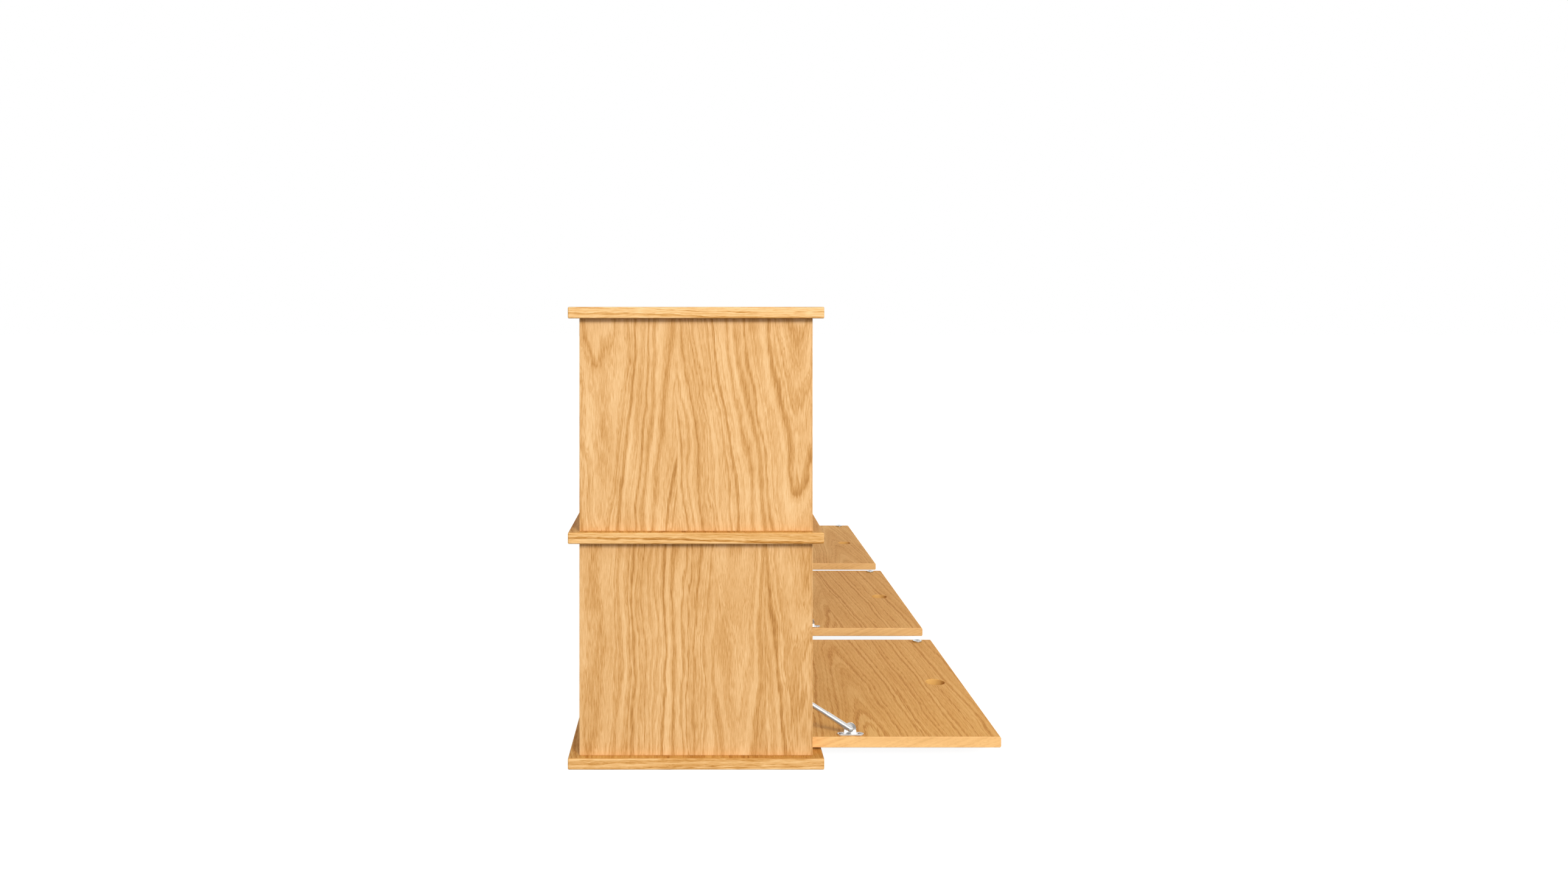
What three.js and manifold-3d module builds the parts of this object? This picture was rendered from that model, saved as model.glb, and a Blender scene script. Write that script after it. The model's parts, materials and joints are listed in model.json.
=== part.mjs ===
// Long two-tier shoe cabinet in oak veneer. Each tier has three bays, and each bay has a drop-down flap door.
// A door turns on a steel rod along its lower edge, is let down by a telescopic stay at its left end,
// and is held shut by a magnet that meets a round strike at its right end.
// Frame: +Z up, doors towards -Y, length along X, origin at the centre of the base board's underside.
// The lower doors stand open and the upper doors are shut.
import * as THREE from "three";
import { mergeVertices } from "three/addons/utils/BufferGeometryUtils.js";
import Module from "manifold-3d";

const wasm = await Module();
wasm.setup();

// ---- Driving dimensions, in millimetres and degrees ----

const BAY_COUNT = 3;
const TIERS = [
  { name: "lower", doorsOpen: true },
  { name: "upper", doorsOpen: false },
];

// Carcass
const BOARD_THICKNESS = 19;
const BOARD_EDGE_RADIUS = 2;
const BOARD_OVERHANG_ENDS = 13;
const BOARD_OVERHANG_FRONT = 18;
const PANEL_DEPTH = 386;
const PANEL_THICKNESS = 25;
const TIER_HEIGHT = 352;
const PARTITION_WIDTH = 88;
const CHEEK_THICKNESS = 18;
const STILE_THICKNESS = 18;
const BACK_THICKNESS = 9;

// Doors
const DOOR_WIDTH = 586;
const DOOR_THICKNESS = 18;
const DOOR_RECESS = 10;
const DOOR_END_GAP = 2;
const DOOR_TOP_GAP = 2;
const DOOR_BOTTOM_GAP = 3;
const DOOR_TOP_RADIUS = 3;
const DOOR_BOTTOM_RADIUS = 4;
const FINGER_HOLE_RADIUS = 18;
const FINGER_HOLE_FROM_TOP = 51;

// Pivot rods
const ROD_RADIUS = 3;
const ROD_CLEARANCE = 0.35;
const ROD_SEAT_DEPTH = 15;

// Strikes and magnets
const STRIKE_RADIUS = 9.75;
const STRIKE_THICKNESS = 3.5;
const STRIKE_FROM_END = 18;
const STRIKE_FROM_TOP = 33;
const MAGNET_LENGTH = 29;
const MAGNET_DEPTH = 20;
const MAGNET_HEIGHT = 16;
const MAGNET_AIR_GAP = 0.3;

// Stays: distances along a stay run from its pin on the door
const STAY_PIN_FROM_PIVOT = 86.4;
const STAY_PIN_ABOVE_DOOR = 9.5;
const STAY_PIN_RADIUS = 2;
const STAY_PIN_HEAD_RADIUS = 3.2;
const STAY_PIN_HEAD_THICKNESS = 1.2;
const STAY_CENTRE_FROM_DOOR_END = 9.8;
const STAY_LENGTH_OPEN = 295;
const STAY_ANGLE_OPEN = 32.4;
const SLEEVE_RADIUS = 4.85;
const SLEEVE_LENGTH = 48.6;
const CYLINDER_RADIUS = 4.3;
const CYLINDER_BORE_START = 14;
const CYLINDER_TO_EYE_GAP = 9;
const PISTON_RADIUS = 2;
const PISTON_END_GAP = 1;
const EYE_RADIUS = 5;
const EYE_THICKNESS = 9;
const RUNNING_CLEARANCE = 0.35;

// Stay brackets
const PLATE_LENGTH = 45;
const PLATE_WIDTH = 12;
const PLATE_THICKNESS = 2.5;
const EAR_WIDTH = 20.4;
const EAR_HEIGHT = 16.4;
const EAR_THICKNESS = 1.5;
const BOSS_RADIUS = 5;

// Facets on round stretches
const ARC_STEPS = 3;
const FINE_FACETS = 24;
const COARSE_FACETS = 12;

// ---- Derived places ----

const boardDepth = PANEL_DEPTH + 2 * BOARD_OVERHANG_FRONT;
const bayWidth = DOOR_WIDTH + 2 * DOOR_END_GAP;
const bayPitch = bayWidth + PARTITION_WIDTH;
const innerLength = BAY_COUNT * bayWidth + (BAY_COUNT - 1) * PARTITION_WIDTH;
const panelLength = innerLength + 2 * PANEL_THICKNESS;
const boardLength = panelLength + 2 * BOARD_OVERHANG_ENDS;
const tierPitch = TIER_HEIGHT + BOARD_THICKNESS;
const panelFront = -PANEL_DEPTH / 2;
const panelBack = PANEL_DEPTH / 2;
const backFront = panelBack - BACK_THICKNESS;

const doorHeight = TIER_HEIGHT - DOOR_TOP_GAP - DOOR_BOTTOM_GAP;
const doorHalf = DOOR_THICKNESS / 2;
const pivotY = panelFront + DOOR_RECESS + doorHalf;
const pivotAboveBoard = DOOR_BOTTOM_GAP + doorHalf;
const doorReach = doorHeight - doorHalf;
const rodHoleRadius = ROD_RADIUS + ROD_CLEARANCE;

const tierFloor = (tier) => BOARD_THICKNESS + tier * tierPitch;
const bayLeft = (bay) => -innerLength / 2 + bay * bayPitch;

// ---- Solids ----

const X_AXIS = new THREE.Vector3(1, 0, 0);

function solidFrom(geometry) {
  const bare = geometry.clone();
  bare.deleteAttribute("normal");
  bare.deleteAttribute("uv");
  const merged = mergeVertices(bare, 1e-4);
  return new wasm.Manifold(
    new wasm.Mesh({
      numProp: 3,
      vertProperties: merged.attributes.position.array,
      triVerts: new Uint32Array(merged.index.array),
    }),
  );
}

function geometryFrom(solid) {
  const mesh = solid.getMesh();
  const geometry = new THREE.BufferGeometry();
  geometry.setAttribute("position", new THREE.BufferAttribute(mesh.vertProperties, 3));
  geometry.setIndex(new THREE.BufferAttribute(mesh.triVerts, 1));
  const faceted = geometry.toNonIndexed();
  faceted.computeVertexNormals();
  return faceted;
}

// A box between two corners. Corners sit on a grid of 1/16 mm, so that faces that touch agree exactly.
const onGrid = (value) => Math.round(value * 16) / 16;

function boxBetween(low, high) {
  const [a, b] = [low.map(onGrid), high.map(onGrid)];
  const geometry = new THREE.BoxGeometry(b[0] - a[0], b[1] - a[1], b[2] - a[2]);
  geometry.translate((a[0] + b[0]) / 2, (a[1] + b[1]) / 2, (a[2] + b[2]) / 2);
  return geometry;
}

// A cylinder along X from one place to another, at y, z.
function barAlongX(radius, from, to, y, z, facets) {
  const geometry = new THREE.CylinderGeometry(radius, radius, to - from, facets);
  geometry.rotateZ(Math.PI / 2);
  geometry.translate((from + to) / 2, y, z);
  return geometry;
}

// A flat outline given as [across, up] extruded along +X from one place to another; across is +Y and up is +Z.
function extrudeAlongX(shape, from, to) {
  const options = { depth: onGrid(to) - onGrid(from), bevelEnabled: false, curveSegments: ARC_STEPS };
  const geometry = new THREE.ExtrudeGeometry(shape, options);
  geometry.rotateX(Math.PI / 2);
  geometry.rotateZ(Math.PI / 2);
  geometry.translate(onGrid(from), 0, 0);
  return geometry;
}

// A rectangle with one corner radius on its left side and another on its right side.
function roundedRectangle(left, bottom, right, top, leftRadius, rightRadius) {
  const shape = new THREE.Shape();
  shape.moveTo(left + leftRadius, bottom);
  shape.lineTo(right - rightRadius, bottom);
  shape.absarc(right - rightRadius, bottom + rightRadius, rightRadius, -Math.PI / 2, 0);
  shape.lineTo(right, top - rightRadius);
  shape.absarc(right - rightRadius, top - rightRadius, rightRadius, 0, Math.PI / 2);
  shape.lineTo(left + leftRadius, top);
  shape.absarc(left + leftRadius, top - leftRadius, leftRadius, Math.PI / 2, Math.PI);
  shape.lineTo(left, bottom + leftRadius);
  shape.absarc(left + leftRadius, bottom + leftRadius, leftRadius, Math.PI, 1.5 * Math.PI);
  return shape;
}

// ---- Materials ----

const oak = () => new THREE.MeshStandardMaterial({ color: 0xe3ad67, roughness: 0.55, metalness: 0 });
const oakInside = () => new THREE.MeshStandardMaterial({ color: 0xd39c5c, roughness: 0.6, metalness: 0 });
const satinMetal = () => new THREE.MeshStandardMaterial({ color: 0xdcdcda, roughness: 0.35, metalness: 0.9 });
const brightSteel = () => new THREE.MeshStandardMaterial({ color: 0xc4c6c8, roughness: 0.2, metalness: 1 });
const whitePlastic = () => new THREE.MeshStandardMaterial({ color: 0xe9e7e2, roughness: 0.5, metalness: 0 });

function piece(name, geometry, material) {
  const mesh = new THREE.Mesh(geometry, material);
  mesh.name = name;
  return mesh;
}

// ---- Carcass ----

function board(name, bottom) {
  const half = boardDepth / 2;
  const top = bottom + BOARD_THICKNESS;
  const r = Math.min(BOARD_EDGE_RADIUS, BOARD_THICKNESS / 4);
  const outline = roundedRectangle(-half, onGrid(bottom), half, onGrid(top), r, r);
  return piece(name, extrudeAlongX(outline, -boardLength / 2, boardLength / 2), oak());
}

// An end panel, with a blind seat for the end of the pivot rod. side is -1 at the left end and 1 at the right.
function endPanel(name, side, floor) {
  const inner = (side * innerLength) / 2;
  const outer = inner + side * PANEL_THICKNESS;
  const [x0, x1] = [Math.min(inner, outer), Math.max(inner, outer)];
  const blank = boxBetween([x0, panelFront, floor], [x1, panelBack, floor + TIER_HEIGHT]);
  const seatEnd = inner + side * (ROD_SEAT_DEPTH + ROD_CLEARANCE);
  const mouth = inner - side;
  const seat = barAlongX(
    rodHoleRadius,
    Math.min(mouth, seatEnd),
    Math.max(mouth, seatEnd),
    pivotY,
    floor + pivotAboveBoard,
    COARSE_FACETS,
  );
  return piece(name, geometryFrom(solidFrom(blank).subtract(solidFrom(seat))), oak());
}

// A partition between two bays: two cheeks glued to a front stile, open at the back, bored for the rod.
function partition(name, gapLeft, floor) {
  const right = gapLeft + PARTITION_WIDTH;
  const ceiling = floor + TIER_HEIGHT;
  const blank = boxBetween([gapLeft, panelFront, floor], [right, backFront, ceiling]);
  const hollow = boxBetween(
    [gapLeft + CHEEK_THICKNESS, panelFront + STILE_THICKNESS, floor - 1],
    [right - CHEEK_THICKNESS, backFront + 1, ceiling + 1],
  );
  const bore = barAlongX(
    rodHoleRadius,
    gapLeft - 1,
    right + 1,
    pivotY,
    floor + pivotAboveBoard,
    COARSE_FACETS,
  );
  const solid = solidFrom(blank).subtract(solidFrom(hollow)).subtract(solidFrom(bore));
  return piece(name, geometryFrom(solid), oak());
}

function backPanel(name, floor) {
  const half = innerLength / 2;
  const geometry = boxBetween([-half, backFront, floor], [half, panelBack, floor + TIER_HEIGHT]);
  return piece(name, geometry, oakInside());
}

function pivotRod(name, floor) {
  const half = innerLength / 2 + ROD_SEAT_DEPTH;
  const geometry = barAlongX(ROD_RADIUS, -half, half, pivotY, floor + pivotAboveBoard, COARSE_FACETS);
  return piece(name, geometry, brightSteel());
}

// The magnet is screwed to the bay's right wall, just behind the strike of the shut door.
function catchMagnet(name, bay, floor) {
  const wall = bayLeft(bay) + bayWidth;
  const front = pivotY + doorHalf + STRIKE_THICKNESS + MAGNET_AIR_GAP;
  const middle = floor + DOOR_BOTTOM_GAP + doorHeight - STRIKE_FROM_TOP;
  const geometry = boxBetween(
    [wall - MAGNET_LENGTH, front, middle - MAGNET_HEIGHT / 2],
    [wall, front + MAGNET_DEPTH, middle + MAGNET_HEIGHT / 2],
  );
  return piece(name, geometry, whitePlastic());
}

// ---- Doors ----
// A door is drawn open, about its pivot: it reaches from the pivot towards -Y, with its inner face up.

function doorLeaf(name, left) {
  const right = left + DOOR_WIDTH;
  const tipRadius = Math.min(DOOR_TOP_RADIUS, doorHalf / 2);
  const heelRadius = Math.min(DOOR_BOTTOM_RADIUS, doorHalf / 2);
  const leaf = roundedRectangle(-doorReach, -doorHalf, doorHalf, doorHalf, tipRadius, heelRadius);
  const blank = solidFrom(extrudeAlongX(leaf, left, right));
  const bore = solidFrom(barAlongX(rodHoleRadius, left - 1, right + 1, 0, 0, COARSE_FACETS));
  const hole = new THREE.CylinderGeometry(
    FINGER_HOLE_RADIUS,
    FINGER_HOLE_RADIUS,
    2 * DOOR_THICKNESS,
    FINE_FACETS,
  );
  hole.rotateX(Math.PI / 2);
  hole.translate((left + right) / 2, FINGER_HOLE_FROM_TOP - doorReach, 0);
  return piece(name, geometryFrom(blank.subtract(bore).subtract(solidFrom(hole))), oakInside());
}

function strikeDisc(name, left) {
  const disc = new THREE.CylinderGeometry(STRIKE_RADIUS, STRIKE_RADIUS, STRIKE_THICKNESS, FINE_FACETS);
  disc.rotateX(Math.PI / 2);
  disc.translate(
    left + DOOR_WIDTH - STRIKE_FROM_END,
    STRIKE_FROM_TOP - doorReach,
    doorHalf + STRIKE_THICKNESS / 2,
  );
  return piece(name, disc, brightSteel());
}

// ---- Stays ----

const stayPin = { y: -STAY_PIN_FROM_PIVOT, z: doorHalf + STAY_PIN_ABOVE_DOOR };
const openAngle = THREE.MathUtils.degToRad(STAY_ANGLE_OPEN);
const wallPin = {
  y: stayPin.y + STAY_LENGTH_OPEN * Math.cos(openAngle),
  z: stayPin.z + STAY_LENGTH_OPEN * Math.sin(openAngle),
};
const shutPin = { y: stayPin.z, z: -stayPin.y };
const stayLengthShut = Math.hypot(wallPin.y - shutPin.y, wallPin.z - shutPin.z);
const cylinderLength = stayLengthShut - EYE_RADIUS - CYLINDER_TO_EYE_GAP;
const pistonLength = stayLengthShut - CYLINDER_BORE_START - PISTON_END_GAP;

// A plate with round ends, drawn about the middle of its foot and lying in the plane of across and up.
function roundEndedOutline(length, width) {
  const [half, r] = [length / 2 - width / 2, width / 2];
  const shape = new THREE.Shape();
  shape.moveTo(-half, -r);
  shape.lineTo(half, -r);
  shape.absarc(half, 0, r, -Math.PI / 2, Math.PI / 2);
  shape.lineTo(-half, r);
  shape.absarc(-half, 0, r, Math.PI / 2, 1.5 * Math.PI);
  return shape;
}

function roundEndedPlate(length, width, thickness) {
  const options = { depth: thickness, bevelEnabled: false, curveSegments: 2 * ARC_STEPS };
  return new THREE.ExtrudeGeometry(roundEndedOutline(length, width), options);
}

// The door's bracket: a plate screwed to the door's inner face, an upright ear, and a pin with a head.
function doorBracket(name, left) {
  const centre = left + STAY_CENTRE_FROM_DOOR_END;
  const earNear = centre + SLEEVE_RADIUS + RUNNING_CLEARANCE;
  const earFar = earNear + EAR_THICKNESS;
  const plate = roundEndedPlate(PLATE_LENGTH, PLATE_WIDTH, PLATE_THICKNESS);
  plate.rotateZ(Math.PI / 2);
  plate.translate(earFar - PLATE_WIDTH / 2, stayPin.y, doorHalf);
  const foot = doorHalf + PLATE_THICKNESS / 2;
  const shoulder = doorHalf + PLATE_THICKNESS + EAR_HEIGHT - EAR_WIDTH / 2;
  const ear = new THREE.Shape();
  ear.moveTo(stayPin.y - EAR_WIDTH / 2, foot);
  ear.lineTo(stayPin.y + EAR_WIDTH / 2, foot);
  ear.lineTo(stayPin.y + EAR_WIDTH / 2, shoulder);
  ear.absarc(stayPin.y, shoulder, EAR_WIDTH / 2, 0, Math.PI);
  const earGeometry = new THREE.ExtrudeGeometry(ear, {
    depth: EAR_THICKNESS,
    bevelEnabled: false,
    curveSegments: 4 * ARC_STEPS,
  });
  earGeometry.rotateX(Math.PI / 2);
  earGeometry.rotateZ(Math.PI / 2);
  earGeometry.translate(earNear, 0, 0);
  const headFar = centre - SLEEVE_RADIUS - RUNNING_CLEARANCE;
  const headNear = headFar - STAY_PIN_HEAD_THICKNESS;
  const pin = barAlongX(STAY_PIN_RADIUS, headNear, earFar, stayPin.y, stayPin.z, COARSE_FACETS);
  const head = barAlongX(STAY_PIN_HEAD_RADIUS, headNear, headFar, stayPin.y, stayPin.z, COARSE_FACETS);
  const solid = [earGeometry, pin, head].reduce((sum, g) => sum.add(solidFrom(g)), solidFrom(plate));
  return piece(name, geometryFrom(solid), satinMetal());
}

// The wall's bracket: a plate on the bay's left wall and a boss that stops just short of the passing stay.
function wallBracket(name, bay, floor) {
  const wall = bayLeft(bay);
  const centre = wall + DOOR_END_GAP + STAY_CENTRE_FROM_DOOR_END;
  const y = pivotY + wallPin.y;
  const z = floor + pivotAboveBoard + wallPin.z;
  const plate = roundEndedPlate(PLATE_LENGTH, PLATE_WIDTH, PLATE_THICKNESS);
  plate.rotateX(Math.PI / 2);
  plate.rotateZ(Math.PI / 2);
  plate.rotateX(Math.PI / 2);
  plate.translate(wall, y, z);
  const bossEnd = centre - Math.max(SLEEVE_RADIUS, EYE_THICKNESS / 2) - RUNNING_CLEARANCE;
  const boss = barAlongX(BOSS_RADIUS, wall + PLATE_THICKNESS / 2, bossEnd, y, z, COARSE_FACETS);
  return piece(name, geometryFrom(solidFrom(plate).add(solidFrom(boss))), satinMetal());
}

// The cylinder is drawn along +Y from the pin on the door: a thick sleeve, then a slimmer tube, bored from its end.
function stayCylinder(name, x) {
  const bore = PISTON_RADIUS + RUNNING_CLEARANCE;
  const outline = [];
  for (let step = 0; step <= ARC_STEPS; step++) {
    const angle = (step / ARC_STEPS) * (Math.PI / 2);
    outline.push(new THREE.Vector2(SLEEVE_RADIUS * Math.sin(angle), -SLEEVE_RADIUS * Math.cos(angle)));
  }
  outline[0].x = 0;
  const rest = [
    [SLEEVE_RADIUS, SLEEVE_LENGTH],
    [CYLINDER_RADIUS, SLEEVE_LENGTH],
    [CYLINDER_RADIUS, cylinderLength],
    [bore, cylinderLength],
    [bore, CYLINDER_BORE_START],
    [0, CYLINDER_BORE_START],
  ];
  outline.push(...rest.map(([r, along]) => new THREE.Vector2(r, along)));
  const body = solidFrom(new THREE.LatheGeometry(outline, COARSE_FACETS));
  const reach = 2 * SLEEVE_RADIUS;
  const pinHole = barAlongX(STAY_PIN_RADIUS + RUNNING_CLEARANCE, -reach, reach, 0, 0, COARSE_FACETS);
  const geometry = geometryFrom(body.subtract(solidFrom(pinHole)));
  geometry.translate(x, 0, 0);
  return piece(name, geometry, satinMetal());
}

// The piston is drawn along +Y too, with its eye at the origin and its rod running back towards -Y.
function stayPiston(name, x) {
  const shaft = new THREE.CylinderGeometry(PISTON_RADIUS, PISTON_RADIUS, pistonLength, COARSE_FACETS);
  shaft.translate(0, -pistonLength / 2, 0);
  const eye = barAlongX(EYE_RADIUS, -EYE_THICKNESS / 2, EYE_THICKNESS / 2, 0, 0, COARSE_FACETS);
  const pinHole = barAlongX(STAY_PIN_RADIUS, -EYE_THICKNESS, EYE_THICKNESS, 0, 0, COARSE_FACETS);
  const solid = solidFrom(shaft).add(solidFrom(eye)).subtract(solidFrom(pinHole));
  const geometry = geometryFrom(solid);
  geometry.translate(x, 0, 0);
  return piece(name, geometry, brightSteel());
}

// A stay joins the pin on the door, wherever the door has carried it, to the pin on the wall.
function stay(label, left, doorAngle) {
  const group = new THREE.Group();
  const x = left + STAY_CENTRE_FROM_DOOR_END;
  const from = new THREE.Vector3(0, stayPin.y, stayPin.z).applyAxisAngle(X_AXIS, doorAngle);
  const along = Math.atan2(wallPin.z - from.z, wallPin.y - from.y);
  const cylinder = stayCylinder("stay_cylinder_" + label, x);
  cylinder.position.set(0, from.y, from.z);
  cylinder.rotation.x = along;
  const piston = stayPiston("stay_piston_" + label, x);
  piston.position.set(0, wallPin.y, wallPin.z);
  piston.rotation.x = along;
  group.add(cylinder, piston);
  return group;
}

// ---- Assembly ----

function doorWithStay(label, bay, floor, isOpen) {
  const left = bayLeft(bay) + DOOR_END_GAP;
  const doorAngle = isOpen ? 0 : -Math.PI / 2;
  const turning = new THREE.Group();
  turning.add(
    doorLeaf("door_" + label, left),
    strikeDisc("strike_disc_" + label, left),
    doorBracket("door_bracket_" + label, left),
  );
  turning.rotation.x = doorAngle;
  const group = new THREE.Group();
  group.add(turning, stay(label, left, doorAngle));
  group.position.set(0, pivotY, floor + pivotAboveBoard);
  return group;
}

function cabinet() {
  const group = new THREE.Group();
  group.add(board("base_board", 0));
  group.add(board("middle_board", tierPitch));
  group.add(board("top_board", 2 * tierPitch));
  TIERS.forEach((tier, level) => {
    const floor = tierFloor(level);
    group.add(endPanel("end_panel_left_" + tier.name, -1, floor));
    group.add(endPanel("end_panel_right_" + tier.name, 1, floor));
    group.add(backPanel("back_panel_" + tier.name, floor));
    group.add(pivotRod("pivot_rod_" + tier.name, floor));
    for (let gap = 1; gap < BAY_COUNT; gap++) {
      const gapLeft = bayLeft(gap) - PARTITION_WIDTH;
      group.add(partition("partition_" + tier.name + "_" + gap, gapLeft, floor));
    }
    for (let bay = 0; bay < BAY_COUNT; bay++) {
      const label = tier.name + "_" + (bay + 1);
      group.add(doorWithStay(label, bay, floor, tier.doorsOpen));
      group.add(wallBracket("wall_bracket_" + label, bay, floor));
      group.add(catchMagnet("catch_magnet_" + label, bay, floor));
    }
  });
  return group;
}

export default cabinet();
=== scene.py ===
"""The finished looks of a long two-tier shoe cabinet in oak veneer, made around its fixed frame.

Every piece is drawn in millimetres and then put in its place in metres. A door and what is screwed to it
are drawn with the door open, about its pivot: X from the door's left end, -Y out of the cabinet, +Z up.
"""

import json
import math
import random

import bmesh
import bpy
from mathutils import Matrix, Vector


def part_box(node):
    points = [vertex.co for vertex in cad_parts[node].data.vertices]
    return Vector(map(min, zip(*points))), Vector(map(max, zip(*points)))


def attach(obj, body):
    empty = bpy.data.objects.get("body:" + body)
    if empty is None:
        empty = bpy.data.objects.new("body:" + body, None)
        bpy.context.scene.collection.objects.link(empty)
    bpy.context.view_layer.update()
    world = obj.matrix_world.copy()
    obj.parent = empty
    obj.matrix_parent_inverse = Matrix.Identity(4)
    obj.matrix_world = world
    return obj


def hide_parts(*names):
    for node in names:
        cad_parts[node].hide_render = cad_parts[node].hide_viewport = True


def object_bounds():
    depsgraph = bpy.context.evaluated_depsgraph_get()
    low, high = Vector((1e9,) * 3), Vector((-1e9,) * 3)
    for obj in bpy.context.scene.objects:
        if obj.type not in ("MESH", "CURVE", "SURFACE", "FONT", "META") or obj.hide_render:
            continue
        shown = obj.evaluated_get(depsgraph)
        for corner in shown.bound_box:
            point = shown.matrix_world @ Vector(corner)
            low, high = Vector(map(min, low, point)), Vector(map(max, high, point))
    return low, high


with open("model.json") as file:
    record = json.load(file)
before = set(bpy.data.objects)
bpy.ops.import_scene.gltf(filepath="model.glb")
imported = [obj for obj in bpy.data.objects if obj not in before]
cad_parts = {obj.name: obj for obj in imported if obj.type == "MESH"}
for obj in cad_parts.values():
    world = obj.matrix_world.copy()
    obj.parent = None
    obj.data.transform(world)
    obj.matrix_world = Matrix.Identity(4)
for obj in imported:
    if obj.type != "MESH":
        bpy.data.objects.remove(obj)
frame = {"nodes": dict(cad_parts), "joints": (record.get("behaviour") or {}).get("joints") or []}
cad_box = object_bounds()

MM = 0.001
TO_METRES = Matrix.Scale(MM, 4)
TIERS = ("lower", "upper")
BAYS = (1, 2, 3)
LABELS = [f"{tier}_{bay}" for tier in TIERS for bay in BAYS]
JOINTS = {joint["name"]: joint for joint in frame["joints"]}

# ---- Sizes of the small pieces, in millimetres ----

# Doors, boards and panels.
DOOR_HALF = 9
DOOR_TIP_RADIUS = 3
DOOR_HEEL_RADIUS = 4
DOOR_END_GAP = 2
FINGER_HOLE_RADIUS = 18
FINGER_HOLE_FROM_TIP = 51
FINGER_HOLE_RIM = 1.2
ROD_HOLE_RADIUS = 3.35
LIPPING = 1.3
GLUE_LINE = 0.5
EASED_EDGE = 0.9
BOARD_EDGE_RADIUS = 2.2
BACK_EDGE_RADIUS = 0.4
CHEEK_THICKNESS = 18
STILE_THICKNESS = 18
ROD_SEAT_DEPTH = 15.35

# Strike discs. The sink is how deep the floor of the countersink lies.
STRIKE_FROM_END = 18
STRIKE_FROM_TIP = 33
STRIKE_RADIUS = 9.75
STRIKE_THICKNESS = 3.5
STRIKE_SINK = 1.5

# Stays and their brackets. The pin's places are from the door's left end and its pivot.
PIN_OUT = 86.4
PIN_UP = 18.5
PLATE_LENGTH = 45
PLATE_WIDTH = 12
PLATE_THICKNESS = 2.5
PLATE_DISH = 0.5
SCREW_SPACING = 32
EAR_X = (15.0, 16.5)
EAR_HALF = 10.2
EAR_TOP = 27.9
PIN_RADIUS = 2
PIN_HEAD_X = 4.6
PIN_HEAD_RADIUS = 3.2
PIN_PLAY = 0.35
BOSS_RADIUS = 5
BOSS_REACH = 6.6
SLEEVE_RADIUS = 4.85
SLEEVE_LENGTH = 48.6
TUBE_RADIUS = 4.3
TUBE_END = 156.05
TUBE_BORE_RADIUS = 2.35
TUBE_BORE_START = 14
SEAL_FROM_TUBE_END = (6.8, 5.6)
PISTON_RADIUS = 2
PISTON_LENGTH = 155.05
EYE_RADIUS = 5
EYE_HALF = 4.5
WALL_PIN_RADIUS = 1.9
WALL_PIN_HEAD_RADIUS = 3.3

# The magnets in their housings, and the steel poles beside them.
POLE_OFFSET = 5.5
POLE_HALF = 1.25
POLE_MARGIN = 1.6
MAGNET_HALF = 4.2
MAGNET_MARGIN = 2.2
MAGNET_DEPTH = 6

# Screws. Each size is a multiple of the common screw's.
SCREW_HEAD_RADIUS = 3.3
STRIKE_SCREW_SIZE = 1.3
MAGNET_SCREW_SIZE = 0.85
MAGNET_SCREW_SPACING = 8.4

# How often each pattern of the oak repeats in a millimetre, across and along the grain.
WANDER_PER_MM = (0.016, 0.0042, 0)
RAGGED_PER_MM = (0.45, 0.02, 0)
PORES_PER_MM = (0.8, 0.05, 0)
RAGGED_DEPTH = 8.0
LOG_SPACING = 7.3


# ---- Materials ----


def tint(code):
    """An sRGB colour, written rrggbb, as linear values."""
    parts = [int(code[at : at + 2], 16) / 255 for at in (0, 2, 4)]
    return [p / 12.92 if p <= 0.04045 else ((p + 0.055) / 1.055) ** 2.4 for p in parts] + [1.0]


def node(tree, kind, inputs=None, output=0, stops=None, **settings):
    """Adds a node with its settings and links, and gives one of its outputs."""
    made = tree.nodes.new(kind)
    for name, setting in settings.items():
        setattr(made, name, setting)
    for place, value in (inputs or {}).items():
        if isinstance(value, bpy.types.NodeSocket):
            tree.links.new(value, made.inputs[place])
        else:
            made.inputs[place].default_value = value
    if stops:
        ramp = made.color_ramp
        ramp.elements[0].position, ramp.elements[0].color = stops[0]
        ramp.elements[1].position, ramp.elements[1].color = stops[-1]
        for place, colour in stops[1:-1]:
            ramp.elements.new(place).color = colour
    return made.outputs[output] if len(made.outputs) else made


def start_material(name):
    material = bpy.data.materials.new(name)
    material.use_nodes = True
    tree = material.node_tree
    return material, tree, tree.nodes["Principled BSDF"]


def finish_shader(tree, shader, links, **constants):
    """Links what varies over a surface, and sets what is the same all over it."""
    for place, value in constants.items():
        shader.inputs[place.replace("_", " ")].default_value = value
    for place, socket in links.items():
        tree.links.new(socket, shader.inputs[place])


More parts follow.
